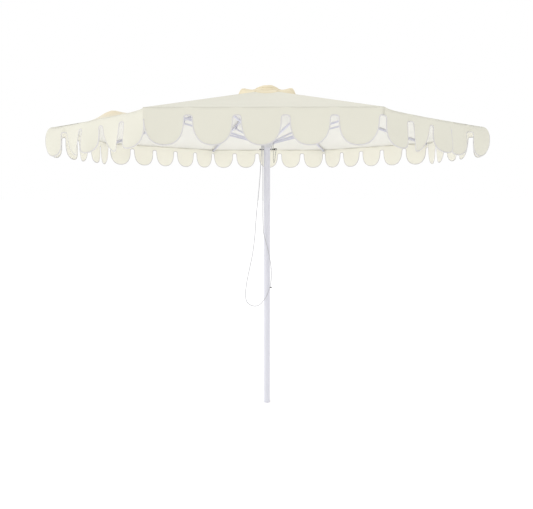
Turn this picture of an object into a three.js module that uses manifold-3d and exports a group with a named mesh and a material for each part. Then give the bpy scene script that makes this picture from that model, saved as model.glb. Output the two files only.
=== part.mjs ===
// Octagonal garden parasol with a scalloped valance: pole, hub, runner, eight ribs and struts,
// eight canopy gores, lock pin, and a lift cord that runs over a pulley.
// Millimetres, +Z up, origin at the middle of the pole's foot. Gore 1 faces -Y.
import * as THREE from "three";
import { mergeVertices } from "three/addons/utils/BufferGeometryUtils.js";
import Module from "manifold-3d";

const wasm = await Module();
wasm.setup();

// ---- driving dimensions ----
const SIDES = 8;
const CANOPY_R = 1500; // pole axis to a corner of the hem
const HEM_Z = 2105;
const APEX_Z = 2442; // where the flat gores would meet
const CLOTH_T = 1.5;
const SEAM_GAP = 0.5;
const VENT_R = 110; // corner of the hole that the vent cap covers
const VALANCE_DROP = 179;
const BAND = 38; // cloth above the notches
const SCALLOPS = 5;
const SCALLOP_W = 199;
const NOTCH_ARCH = 15;
const SIDE_PULL = -138; // how far down each scallop's sides run before they turn in
const ROUND_PULL = 62; // half of the flatter stretch at a scallop's lowest point

const POLE_R = 24;
const POLE_BORE = 22;
const POLE_TOP_Z = 2404;
const FIT = 0.3; // clearance where pieces meet

const PIVOT_R = 40; // hub and runner pivots stand this far from the pole's axis
const HUB_Z = 2420;
const STRUT_LENGTH = 720; // the bracket is as far from the hub pivot as from the runner pivot
const BRACKET_DROP = 26;
const RIB_W = 12;
const RIB_H = 17;
const RIB_LENGTH = 1462;
const TONGUE = 16;
const STRUT_W = 11;
const STRUT_H = 13;
const CHEEK_T = 3;
const WIRE_R = 1.8;
const EYE_R = 2.7; // hole for a hinge wire or pin

const SLEEVE_BASE_Z = 2022; // bottom of the runner's sleeve
const CORD_R = 2.5;
const PULLEY_Z = 2325;
const PULLEY_CORD_R = 33; // the cord's centreline on the pulley
const PIN_Z = 2012;
const PIN_Y = 31;
const PIN_R = 3.5;

// ---- worked out from them ----
const STEP = (2 * Math.PI) / SIDES;
const APOTHEM = CANOPY_R * Math.cos(STEP / 2);
const HALF_SIDE = CANOPY_R * Math.sin(STEP / 2);
const RISE = APEX_Z - HEM_Z;
const RIB_SLOPE = Math.atan(RISE / CANOPY_R);
const GORE_SLOPE = Math.atan(RISE / APOTHEM);
const STRUT_SLOPE = RIB_SLOPE + Math.asin(BRACKET_DROP / STRUT_LENGTH);
const RUNNER_Z = HUB_Z - 2 * STRUT_LENGTH * Math.sin(STRUT_SLOPE);
const CLOSED_SLOPE = (88 * Math.PI) / 180;
const RUNNER_TRAVEL = 2 * STRUT_LENGTH * (Math.sin(CLOSED_SLOPE) - Math.sin(STRUT_SLOPE));

// ---- materials ----
function finish(color, roughness, metalness = 0) {
  return () => new THREE.MeshStandardMaterial({ color, roughness, metalness });
}
const cloth = finish(0xefece0, 0.85);
const whiteMetal = finish(0xe4e4ee, 0.4, 0.2);
const greyPlastic = finish(0xb9bac8, 0.55);
const whitePlastic = finish(0xe9e9ee, 0.5);
const steel = finish(0x9a9ca3, 0.3, 0.9);
const darkMetal = finish(0x17160f, 0.45, 0.4);
const cordWhite = finish(0xecebe6, 0.9);

// ---- geometry helpers ----
function solid(geometry) {
  const bare = geometry.clone();
  bare.deleteAttribute("normal");
  bare.deleteAttribute("uv");
  const merged = mergeVertices(bare, 1e-4);
  return new wasm.Manifold(
    new wasm.Mesh({
      numProp: 3,
      vertProperties: merged.attributes.position.array,
      triVerts: new Uint32Array(merged.index.array),
    }),
  );
}

function combine(geometry, added, removed) {
  let body = solid(geometry);
  for (const piece of added) body = body.add(solid(piece));
  for (const piece of removed) body = body.subtract(solid(piece));
  const mesh = body.getMesh();
  const made = new THREE.BufferGeometry();
  made.setAttribute("position", new THREE.BufferAttribute(mesh.vertProperties.slice(), 3));
  made.setIndex(new THREE.BufferAttribute(mesh.triVerts.slice(), 1));
  made.computeVertexNormals();
  return made;
}

// A turned piece about Z. The profile [r, z] runs anticlockwise.
function turned(profile, segments = 32) {
  const points = profile.map(([r, z]) => new THREE.Vector2(r, z));
  return new THREE.LatheGeometry(points, segments).rotateX(Math.PI / 2).rotateZ(STEP / 2);
}

function tubeRing(inner, outer, low, high, segments = 32) {
  return turned([[inner, low], [outer, low], [outer, high], [inner, high], [inner, low]], segments);
}

function box(low, high) {
  const size = high.map((v, i) => v - low[i]);
  const middle = high.map((v, i) => (v + low[i]) / 2);
  return new THREE.BoxGeometry(...size).translate(...middle);
}

// A rod along X, Y or Z about the given middle.
function rod(axis, radius, length, [x, y, z], sides = 12) {
  const made = new THREE.CylinderGeometry(radius, radius, length, sides);
  if (axis === "x") made.rotateZ(Math.PI / 2);
  if (axis === "z") made.rotateX(Math.PI / 2);
  return made.translate(x, y, z);
}

// A plate drawn in the upright plane through X, as thick as width, centred on Y = 0.
function sidePlate(shape, width, curveSegments = 3) {
  const made = new THREE.ExtrudeGeometry(shape, { depth: width, bevelEnabled: false, curveSegments });
  return made.translate(0, 0, -width / 2).rotateX(Math.PI / 2);
}

function tubeAlong(curve, radius, steps, sides = 8) {
  const section = new THREE.Shape();
  section.absarc(0, 0, radius, 0, 2 * Math.PI, false);
  return new THREE.ExtrudeGeometry(section, { steps, extrudePath: curve, curveSegments: sides / 2 });
}

function radialCopies(geometry) {
  return Array.from({ length: SIDES }, (_, i) => geometry.clone().rotateZ((i + 0.5) * STEP));
}

const parasol = new THREE.Group();

function place(name, geometry, material, parent = parasol) {
  const mesh = new THREE.Mesh(geometry, material());
  mesh.name = name;
  parent.add(mesh);
  return mesh;
}

// A nested frame that faces outwards at the given turn round the pole.
function facing(angle) {
  const frame = new THREE.Group();
  frame.rotation.z = angle;
  parasol.add(frame);
  return frame;
}

const ribAngle = (i) => -Math.PI / 2 + (i + 0.5) * STEP;
const goreAngle = (i) => -Math.PI / 2 + i * STEP;

// ---- pole and foot ----
const SLOT_HALF_W = 5.4;
const SLOT_HALF_H = PULLEY_CORD_R + 6;
const AXLE_R = 2.8;

function pole() {
  const tube = tubeRing(POLE_BORE, POLE_R, 3 + FIT, POLE_TOP_Z);
  const pulleySlot = box(
    [-POLE_R - 5, -SLOT_HALF_W, PULLEY_Z - SLOT_HALF_H],
    [POLE_R + 5, SLOT_HALF_W, PULLEY_Z + SLOT_HALF_H],
  );
  const axleHoles = rod("y", AXLE_R + FIT, 2 * POLE_R + 10, [0, 0, PULLEY_Z]);
  const pinHoles = rod("x", PIN_R + 1, 2 * POLE_R + 10, [0, 0, PIN_Z]);
  return combine(tube, [], [pulleySlot, axleHoles, pinHoles]);
}

function footPlug() {
  const plugR = POLE_BORE - FIT - 0.2;
  return turned([[0, 0], [POLE_R - 0.5, 0], [POLE_R, 1], [POLE_R, 3], [plugR, 3], [plugR, 32], [0, 32]]);
}

const STOP_R = 4.5;
const STOP_Z = SLEEVE_BASE_Z - RUNNER_TRAVEL - STOP_R - 0.4;

function stopScrew() {
  const head = rod("x", STOP_R, 11, [POLE_R + FIT + 5.5, 0, STOP_Z]);
  const collar = rod("x", STOP_R - 1, 3, [POLE_R + FIT + 12, 0, STOP_Z]);
  return combine(head, [collar], []);
}

// ---- hub ----
const HUB_R = 52;
const HUB_TOP_Z = HUB_Z + 14;
const HUB_NECK_R = 29;
const HUB_NECK_H = 46;
const HUB_DISC_DROP = 12;
const SLOT_R = 30.5; // slots for the ribs and struts start this far out
const SLOT_W = 13.4;

function hub() {
  const body = turned([
    [0, POLE_TOP_Z + FIT], [POLE_R + 0.5, POLE_TOP_Z + FIT], [POLE_R + 0.5, HUB_Z - HUB_NECK_H],
    [HUB_NECK_R, HUB_Z - HUB_NECK_H], [HUB_NECK_R, HUB_Z - HUB_DISC_DROP],
    [HUB_R, HUB_Z - HUB_DISC_DROP], [HUB_R, HUB_TOP_Z], [0, HUB_TOP_Z],
  ], 24);
  const slot = box([SLOT_R, -SLOT_W / 2, HUB_Z - 16], [HUB_R + 5, SLOT_W / 2, HUB_Z + 10.5]);
  const wireTunnel = hingeRing(WIRE_R + 0.7, HUB_Z);
  return combine(body, [], [...radialCopies(slot), wireTunnel]);
}

// An eight-sided wire ring: each flat crosses one slot at the pivot radius.
function hingeRing(radius, z) {
  const cornerR = PIVOT_R / Math.cos(STEP / 2);
  return new THREE.TorusGeometry(cornerR, radius, 8, SIDES).translate(0, 0, z);
}

// ---- runner ----
const FLANGE_R = 56;
const FLANGE_BASE_Z = RUNNER_Z - 11.5;
const FLANGE_TOP_Z = RUNNER_Z + 10.5;
const LUG_X = 34;
const SLEEVE_R = 30;
const COLLAR_R = 29;
const COLLAR_H = 22;

function runner() {
  const bore = POLE_R + 0.7;
  const body = turned([
    [bore, SLEEVE_BASE_Z], [SLEEVE_R, SLEEVE_BASE_Z], [SLEEVE_R, FLANGE_BASE_Z],
    [FLANGE_R, FLANGE_BASE_Z], [FLANGE_R, FLANGE_TOP_Z], [COLLAR_R, FLANGE_TOP_Z],
    [COLLAR_R, FLANGE_TOP_Z + COLLAR_H], [bore, FLANGE_TOP_Z + COLLAR_H], [bore, SLEEVE_BASE_Z],
  ], 24);
  const slot = box(
    [SLOT_R, -SLOT_W / 2, FLANGE_BASE_Z + 3],
    [FLANGE_R + 5, SLOT_W / 2, FLANGE_TOP_Z + 5],
  );
  const lugs = [-LUG_X, LUG_X].map((x) =>
    box([x - 3, PIN_Y - 6.5, PIN_Z - 7.5], [x + 3, PIN_Y + 6.5, FLANGE_BASE_Z + 1]),
  );
  const pinHole = rod("x", PIN_R + 0.8, 3 * FLANGE_R, [0, PIN_Y, PIN_Z]);
  const wireTunnel = hingeRing(WIRE_R + 0.7, RUNNER_Z);
  return combine(body, lugs, [...radialCopies(slot), pinHole, wireTunnel]);
}

// ---- ribs, tips and struts ----
function roundEndedBar(length, height, eyeRadius, farEndRound) {
  const half = height / 2;
  const shape = new THREE.Shape();
  shape.moveTo(0, -half);
  shape.lineTo(length, -half);
  if (farEndRound) shape.absarc(length, 0, half, -Math.PI / 2, Math.PI / 2, false);
  else shape.lineTo(length, half);
  shape.lineTo(0, half);
  shape.absarc(0, 0, half, Math.PI / 2, (3 * Math.PI) / 2, false);
  const eye = new THREE.Path();
  eye.absarc(0, 0, eyeRadius, 0, 2 * Math.PI, true);
  shape.holes.push(eye);
  return shape;
}

const TONGUE_H = 10;
const TONGUE_W = 8;
const BRACKET_S = Math.sqrt(STRUT_LENGTH ** 2 - BRACKET_DROP ** 2);

function cheek() {
  const shape = new THREE.Shape();
  shape.moveTo(BRACKET_S - 20, 5);
  shape.lineTo(BRACKET_S - 7, -BRACKET_DROP);
  shape.absarc(BRACKET_S, -BRACKET_DROP, 7, Math.PI, 2 * Math.PI, false);
  shape.lineTo(BRACKET_S + 20, 5);
  const hole = new THREE.Path();
  hole.absarc(BRACKET_S, -BRACKET_DROP, EYE_R + 0.3, 0, 2 * Math.PI, true);
  shape.holes.push(hole);
  return sidePlate(shape, CHEEK_T, 4);
}

function rib() {
  const bar = sidePlate(roundEndedBar(RIB_LENGTH, RIB_H, EYE_R, false), RIB_W);
  const tongue = box(
    [RIB_LENGTH - 2, -TONGUE_W / 2, -TONGUE_H / 2],
    [RIB_LENGTH + TONGUE, TONGUE_W / 2, TONGUE_H / 2],
  );
  const offset = STRUT_W / 2 + FIT + CHEEK_T / 2;
  const cheeks = [-offset, offset].map((y) => cheek().translate(0, y, 0));
  return combine(bar, [tongue, ...cheeks], []);
}

const TIP_START = RIB_LENGTH + FIT;

function ribTip() {
  const shape = new THREE.Shape();
  shape.moveTo(TIP_START, -9);
  shape.lineTo(TIP_START + 18, -8);
  shape.quadraticCurveTo(TIP_START + 24, 0, TIP_START + 18, 8);
  shape.lineTo(TIP_START, 9);
  const socket = box(
    [TIP_START - 1, -TONGUE_W / 2 - FIT, -TONGUE_H / 2 - FIT],
    [RIB_LENGTH + TONGUE + FIT, TONGUE_W / 2 + FIT, TONGUE_H / 2 + FIT],
  );
  return combine(sidePlate(shape, 14, 3), [], [socket]);
}

function strut() {
  const bar = sidePlate(roundEndedBar(STRUT_LENGTH, STRUT_H, EYE_R, true), STRUT_W);
  const rivet = rod("y", EYE_R - 0.2, STRUT_W + 2 * CHEEK_T + 4, [STRUT_LENGTH, 0, 0], 8);
  return combine(bar, [rivet], []);
}

// ---- canopy ----
const SLANT = Math.hypot(APOTHEM, RISE);

function gore() {
  const inner = (SLANT * VENT_R) / CANOPY_R;
  const halfWidth = (slant) => (HALF_SIDE * slant) / SLANT - SEAM_GAP;
  const shape = new THREE.Shape();
  shape.moveTo(inner, -halfWidth(inner));
  shape.lineTo(SLANT, -halfWidth(SLANT));
  shape.lineTo(SLANT, halfWidth(SLANT));
  shape.lineTo(inner, halfWidth(inner));
  const sheet = new THREE.ExtrudeGeometry(shape, { depth: CLOTH_T, bevelEnabled: false });
  return sheet.translate(0, 0, -CLOTH_T / 2);
}

function scallopOutline() {
  const end = HALF_SIDE - SEAM_GAP - CLOTH_T / 2;
  const half = SCALLOP_W / 2;
  const pitch = (2 * end - SCALLOP_W) / (SCALLOPS - 1);
  const sideTop = -BAND - NOTCH_ARCH;
  const shape = new THREE.Shape();
  shape.moveTo(-end, 0);
  for (let k = 0; k < SCALLOPS; k++) {
    const middle = -end + half + k * pitch;
    const left = middle - half;
    const right = middle + half;
    shape.lineTo(left, sideTop);
    shape.bezierCurveTo(left, SIDE_PULL, middle - ROUND_PULL, -VALANCE_DROP, middle, -VALANCE_DROP);
    shape.bezierCurveTo(middle + ROUND_PULL, -VALANCE_DROP, right, SIDE_PULL, right, sideTop);
    if (k < SCALLOPS - 1) {
      const gap = pitch - SCALLOP_W;
      shape.bezierCurveTo(right, -BAND, right + 0.2 * gap, -BAND, right + gap / 2, -BAND);
      shape.bezierCurveTo(right + 0.8 * gap, -BAND, right + gap, -BAND, right + gap, sideTop);
    }
  }
  shape.lineTo(end, 0);
  return shape;
}

// The valance hangs in the upright plane just inside the hem.
function valance() {
  const sheet = new THREE.ExtrudeGeometry(scallopOutline(), {
    depth: CLOTH_T,
    bevelEnabled: false,
    curveSegments: 4,
  });
  const along = new THREE.Vector3(0, 1, 0);
  const up = new THREE.Vector3(0, 0, 1);
  const out = new THREE.Vector3(1, 0, 0);
  sheet.applyMatrix4(new THREE.Matrix4().makeBasis(along, up, out));
  return sheet.translate(APOTHEM - CLOTH_T, 0, HEM_Z - 1.2);
}

// The vent cap's section as [r, z]: the inner face outwards to the brim, then the outer face back.
const CAP_SECTION = [
  [0, 2470], [40, 2467], [100, 2442], [168, 2442], [209, 2411], [212, 2413],
  [170, 2446], [100, 2446], [41, 2471], [0, 2475],
];

function ventCap() {
  return turned(CAP_SECTION, 16);
}

const STALK_R = 10;
const CAP_DISC_R = 34;

function capSupport() {
  return turned([
    [0, HUB_TOP_Z + FIT], [STALK_R, HUB_TOP_Z + FIT], [STALK_R, HUB_TOP_Z + 22],
    [CAP_DISC_R, HUB_TOP_Z + 28], [CAP_DISC_R, HUB_TOP_Z + 31], [0, HUB_TOP_Z + 34],
  ], 24);
}

// ---- pulley, cords, pin and chain ----
function pulleyWheel() {
  const groove = PULLEY_CORD_R - CORD_R - 1.5;
  const rim = PULLEY_CORD_R + 1;
  const bore = AXLE_R + FIT;
  const wheel = turned([
    [bore, -4.5], [rim, -4.5], [rim, -3.2], [groove, -3.2], [groove, 3.2], [rim, 3.2],
    [rim, 4.5], [bore, 4.5], [bore, -4.5],
  ], 24);
  return wheel.rotateX(Math.PI / 2).translate(0, 0, PULLEY_Z);
}

function upright(points) {
  return new THREE.CatmullRomCurve3(points.map((p) => new THREE.Vector3(...p)), false, "centripetal");
}

// Both falls of the lift cord stand on the runner, either side of the pole, and cross the pulley.
function hoistCord() {
  const low = FLANGE_TOP_Z + FIT;
  const route = new THREE.CurvePath();
  const left = new THREE.Vector3(-PULLEY_CORD_R, 0, PULLEY_Z);
  const right = new THREE.Vector3(PULLEY_CORD_R, 0, PULLEY_Z);
  const arc = Array.from({ length: 13 }, (_, i) => {
    const turn = Math.PI * (1 - i / 12);
    return [PULLEY_CORD_R * Math.cos(turn), 0, PULLEY_Z + PULLEY_CORD_R * Math.sin(turn)];
  });
  route.add(new THREE.LineCurve3(new THREE.Vector3(left.x, 0, low), left));
  route.add(upright(arc));
  route.add(new THREE.LineCurve3(right, new THREE.Vector3(right.x, 0, low)));
  return tubeAlong(route, CORD_R, 44);
}

// The pull cord hangs from the runner in one long loop beside the pole, and crosses in front of it.
const PULL_CORD_ROUTE = [
  [-40, -10, FLANGE_BASE_Z - FIT], [-41, -12, 2020], [-46, -16, 1918], [-60, -20, 1719],
  [-81, -22, 1517], [-94, -24, 1350], [-112, -26, 1209], [-138, -28, 1085], [-160, -30, 971],
  [-168, -32, 884], [-153, -34, 829], [-111, -35, 803], [-65, -35, 808], [-29, -34, 842],
  [8, -34, 905], [30, -32, 985], [34, -31, 1085], [16, -35, 1209], [-6, -35, 1300],
  [-25, -31, 1372], [-31, -24, 1480], [-31, -22, 1719], [-31, -20, 1935],
  [-31, -18, 2022], [-31, -18, FLANGE_BASE_Z - FIT],
];

function pullCord() {
  return tubeAlong(upright(PULL_CORD_ROUTE), CORD_R, 80);
}

const PIN_HEAD_X = 56;
const PIN_END_X = -58;
const PIN_HEAD_R = 7;
const PIN_HEAD_T = 6;
const PIN_EYE_R = 6.5;
const PIN_EYE_WIRE_R = 2;

function lockPin() {
  const middle = (PIN_HEAD_X + PIN_END_X) / 2;
  const shank = rod("x", PIN_R, PIN_HEAD_X - PIN_END_X, [middle, PIN_Y, PIN_Z]);
  const head = rod("x", PIN_HEAD_R, PIN_HEAD_T, [PIN_HEAD_X + 2, PIN_Y, PIN_Z]);
  const eye = new THREE.TorusGeometry(PIN_EYE_R, PIN_EYE_WIRE_R, 6, 12).rotateX(Math.PI / 2);
  eye.translate(PIN_HEAD_X + 12, PIN_Y, PIN_Z);
  return combine(shank, [head, eye], []);
}

// The chain hangs from the runner's flange and comes back up to the pin's eye.
const CHAIN_ROUTE = [
  [47, 8, FLANGE_BASE_Z - FIT], [47, 8, 2028], [48, 12, 1975], [49, 17, 1925], [53, 22, 1911],
  [58, 26, 1925], [63, 30, 1965], [67, 31, 1990], [68, 31, 1998],
];

const CHAIN_R = 1.6;

function pinChain() {
  return tubeAlong(upright(CHAIN_ROUTE), CHAIN_R, 30, 6);
}

// ---- the assembly ----
place("pole", pole(), whiteMetal);
place("foot_plug", footPlug(), greyPlastic);
place("stop_screw", stopScrew(), darkMetal);
place("top_hub", hub(), whitePlastic);
place("hub_wire", hingeRing(WIRE_R, HUB_Z), steel);
place("cap_support", capSupport(), whitePlastic);
place("vent_cap", ventCap(), cloth);
place("runner", runner(), whitePlastic);
place("runner_wire", hingeRing(WIRE_R, RUNNER_Z), steel);
place("lock_pin", lockPin(), darkMetal);
place("pin_chain", pinChain(), darkMetal);
place("pulley_wheel", pulleyWheel(), whitePlastic);
place("pulley_axle", rod("y", AXLE_R, 2 * POLE_R + 2, [0, 0, PULLEY_Z]), steel);
place("hoist_cord", hoistCord(), cordWhite);
place("pull_cord", pullCord(), cordWhite);

for (let i = 0; i < SIDES; i++) {
  const ribFrame = facing(ribAngle(i));
  for (const [name, geometry, material] of [
    [`rib_${i + 1}`, rib(), whiteMetal],
    [`rib_tip_${i + 1}`, ribTip(), greyPlastic],
  ]) {
    const piece = place(name, geometry, material, ribFrame);
    piece.position.set(PIVOT_R, 0, HUB_Z);
    piece.rotation.y = RIB_SLOPE;
  }
  const strutMesh = place(`strut_${i + 1}`, strut(), whiteMetal, ribFrame);
  strutMesh.position.set(PIVOT_R, 0, RUNNER_Z);
  strutMesh.rotation.y = -STRUT_SLOPE;

  const goreFrame = facing(goreAngle(i));
  const goreMesh = place(`gore_${i + 1}`, gore(), cloth, goreFrame);
  goreMesh.position.set(0, 0, APEX_Z);
  goreMesh.rotation.y = GORE_SLOPE;
  place(`valance_${i + 1}`, valance(), cloth, goreFrame);
}

export default parasol;
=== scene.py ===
import math

import bmesh
import bpy
import numpy as np
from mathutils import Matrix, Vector, noise


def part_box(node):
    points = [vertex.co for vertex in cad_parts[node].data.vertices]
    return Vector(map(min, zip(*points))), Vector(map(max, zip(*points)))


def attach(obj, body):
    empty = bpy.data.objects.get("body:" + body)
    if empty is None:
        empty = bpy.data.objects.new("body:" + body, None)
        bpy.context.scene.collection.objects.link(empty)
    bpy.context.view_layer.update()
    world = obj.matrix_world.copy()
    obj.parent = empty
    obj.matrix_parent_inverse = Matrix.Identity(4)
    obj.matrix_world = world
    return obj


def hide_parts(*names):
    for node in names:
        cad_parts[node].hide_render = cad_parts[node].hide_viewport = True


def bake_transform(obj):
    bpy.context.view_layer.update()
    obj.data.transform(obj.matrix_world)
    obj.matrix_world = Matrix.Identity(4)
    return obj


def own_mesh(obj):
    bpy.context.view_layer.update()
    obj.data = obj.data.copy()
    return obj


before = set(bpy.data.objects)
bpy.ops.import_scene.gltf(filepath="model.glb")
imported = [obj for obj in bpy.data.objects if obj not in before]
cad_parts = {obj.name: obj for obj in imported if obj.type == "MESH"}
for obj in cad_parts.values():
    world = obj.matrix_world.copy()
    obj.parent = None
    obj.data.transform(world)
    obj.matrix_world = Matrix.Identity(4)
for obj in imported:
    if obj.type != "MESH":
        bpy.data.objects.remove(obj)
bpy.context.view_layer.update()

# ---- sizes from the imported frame, in metres ----
SIDES = 8
STEP = 2 * math.pi / SIDES
CLOTH_T = 0.0015
HEM_RISE = 0.0012  # the canvas's hem over the top of the valance
CAD_CLOTH_HALF = 0.0007
VENT_SHARE = 110 / 1500  # corner of the vent hole over corner of the hem
APOTHEM = -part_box("valance_1")[0].y
HEM_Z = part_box("valance_1")[1].z + HEM_RISE
APEX_Z = HEM_Z + (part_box("gore_1")[1].z - CAD_CLOTH_HALF - HEM_Z) / (1 - VENT_SHARE)
RISE = APEX_Z - HEM_Z
HALF_SIDE = APOTHEM * math.tan(STEP / 2)
SLOPE = math.atan2(RISE, APOTHEM)
SLANT = math.hypot(APOTHEM, RISE)
SEAM_GAP = 0.0005
VALANCE_TOP_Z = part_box("valance_1")[1].z
DROP = VALANCE_TOP_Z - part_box("valance_1")[0].z
VALANCE_END = HALF_SIDE - SEAM_GAP - CLOTH_T / 2
SCALLOPS = 5
SCALLOP_W = 0.199
PITCH = (2 * VALANCE_END - SCALLOP_W) / (SCALLOPS - 1)
BAND = 0.038  # plain strip above the scallops
NOTCH_ARCH = 0.015
SIDE_PULL = -0.138  # the scallop's curve: how far its sides and its round bottom are drawn out
ROUND_PULL = 0.062

# ---- camera: at eye height, a little below the hem ----
CAMERA_AT = (0.039, -3.835, 1.724)
CAMERA_TILT = math.radians(82.29)
CAMERA_YAW = math.radians(0.64)
SENSOR_MM = 36
LENS_MM = 33.52
camera_data = bpy.data.cameras.new("camera")
camera_data.sensor_width = SENSOR_MM
camera_data.lens = LENS_MM
camera = bpy.data.objects.new("camera", camera_data)
camera.location = CAMERA_AT
camera.rotation_euler = (CAMERA_TILT, 0, CAMERA_YAW)
bpy.context.scene.collection.objects.link(camera)
bpy.context.scene.camera = camera


# ---- mesh helpers ----
def mesh_object(name, verts, faces, layers=None, smooth=True):
    """A mesh object. layers maps a UV layer's name to one (u, v) per vertex."""
    mesh = bpy.data.meshes.new(name)
    mesh.from_pydata([tuple(v) for v in verts], [], [tuple(int(i) for i in f) for f in faces])
    bm = bmesh.new()
    bm.from_mesh(mesh)
    bmesh.ops.recalc_face_normals(bm, faces=bm.faces)
    bm.to_mesh(mesh)
    bm.free()
    corner = np.empty(len(mesh.loops), int)
    mesh.loops.foreach_get("vertex_index", corner)
    for layer, uv in (layers or {}).items():
        made = mesh.uv_layers.new(name=layer)
        made.data.foreach_set("uv", np.asarray(uv, np.float32)[corner].ravel())
    mesh.polygons.foreach_set("use_smooth", [smooth] * len(mesh.polygons))
    obj = bpy.data.objects.new(name, mesh)
    bpy.context.scene.collection.objects.link(obj)
    return obj


def grid_quads(ids):
    """Quads between the points of a grid of vertex numbers."""
    return np.stack([ids[:-1, :-1], ids[:-1, 1:], ids[1:, 1:], ids[1:, :-1]], -1).reshape(-1, 4)


def sheet_object(name, points, thickness, layers, outer, inner=None):
    """A closed sheet about a grid of points; layers hold one (u, v) per grid point."""
    rows, cols = points.shape[:2]
    across = np.gradient(points, axis=1)
    down = np.gradient(points, axis=0)
    normal = unit(np.cross(down, across))
    front = points + normal * thickness / 2
    back = points - normal * thickness / 2
    ids = np.arange(rows * cols).reshape(rows, cols)
    rim = np.concatenate([ids[0, :-1], ids[:-1, -1], ids[-1, :0:-1], ids[:0:-1, 0]])
    after = np.roll(rim, -1)
    offset = rows * cols
    rim_quads = np.stack([rim, rim + offset, after + offset, after], -1)
    faces = np.concatenate([grid_quads(ids), grid_quads(ids)[:, ::-1] + offset, rim_quads])
    verts = np.concatenate([front.reshape(-1, 3), back.reshape(-1, 3)])
    doubled = {k: np.concatenate([np.reshape(v, (-1, 2))] * 2) for k, v in layers.items()}
    piece = mesh_object(name, verts, faces, doubled)
    piece.data.materials.append(outer)
    if inner:
        piece.data.materials.append(inner)
        quads = (rows - 1) * (cols - 1)
        index = [0] * quads + [1] * quads + [0] * (len(faces) - 2 * quads)
        piece.data.polygons.foreach_set("material_index", index)
    return piece


def unit(vectors):
    return vectors / np.linalg.norm(vectors, axis=-1, keepdims=True)


def run_along(path):
    """Distance from the first point to each point of a path."""
    return np.concatenate([[0], np.cumsum(np.linalg.norm(np.diff(path, axis=0), axis=1))])


def tangents(path, closed=False):
    """Unit direction of travel at each point of a path."""
    ahead = np.roll(path, -1, 0) if closed else np.vstack([path[1:], path[-1]])
    behind = np.roll(path, 1, 0) if closed else np.vstack([path[0], path[:-1]])
    return unit(ahead - behind)


def ring_faces(count, sides, closed=False):
    """Faces over count rings of vertices, with end caps unless the rings close on themselves."""
    faces = []
    for i in range(count if closed else count - 1):
        j = (i + 1) % count
        for k in range(sides):
            m = (k + 1) % sides
            faces.append((i * sides + k, i * sides + m, j * sides + m, j * sides + k))
    if not closed:
        faces.append(tuple(range(sides)))
        faces.append(tuple((count - 1) * sides + k for k in range(sides)))
    return faces


def tube_parts(path, radius, sides, closed=False):
    """Vertices, faces and (turn, length) of a round tube along points."""
    path = np.asarray(path, float)
    tangent = tangents(path, closed)
    side = unit(np.cross(tangent[0], (0, 1, 0.01)))
    verts, uv = [], []
    for p, t, length in zip(path, tangent, run_along(path)):
        side = unit(side - t * (side @ t))
        up = np.cross(t, side)
        for k in range(sides):
            a = 2 * math.pi * k / sides
            verts.append(p + radius * (math.cos(a) * side + math.sin(a) * up))
            uv.append((k / sides, length))
    return verts, ring_faces(len(path), sides, closed), uv


def joined(parts):
    """Several (verts, faces, uv) as one."""
    verts, faces, uv = [], [], []
    for v, f, t in parts:
        faces += [tuple(i + len(verts) for i in face) for face in f]
        verts += list(v)
        uv += list(t)
    return verts, faces, uv


def smooth_curve(points, steps):
    """Centripetal Catmull-Rom curve through the points."""
    p = [np.array(q, float) for q in points]
    p = [2 * p[0] - p[1]] + p + [2 * p[-1] - p[-2]]
    spans = len(p) - 3
    out = []
    for k in range(steps + 1):
        at = k / steps * spans
        i = min(int(at), spans - 1)
        u = at - i
        a, b, c, d = p[i : i + 4]
        gaps = [max(np.linalg.norm(y - x), 1e-6) ** 0.5 for x, y in ((a, b), (b, c), (c, d))]
        m1 = ((b - a) / gaps[0] - (c - a) / (gaps[0] + gaps[1]) + (c - b) / gaps[1]) * gaps[1]
        m2 = ((c - b) / gaps[1] - (d - b) / (gaps[1] + gaps[2]) + (d - c) / gaps[2]) * gaps[1]
        out.append(
            b + m1 * u + (-3 * b + 3 * c - 2 * m1 - m2) * u**2 + (2 * b - 2 * c + m1 + m2) * u**3
        )
    return np.array(out)


def ramp(x, start, run):
    """0 before start, 1 after start + run, straight between."""
    return max(0.0, min(1.0, (x - start) / run))


def facing(i):
    """Outward and sideways unit vectors of panel i; panel 1 faces -Y and rib i is at i + 0.5."""
    turn = -math.pi / 2 + (i - 1) * STEP
    out = np.array([math.cos(turn), math.sin(turn), 0])
    side = np.array([-math.sin(turn), math.cos(turn), 0])
    return out, side


UP = np.array([0.0, 0.0, 1.0])


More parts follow.
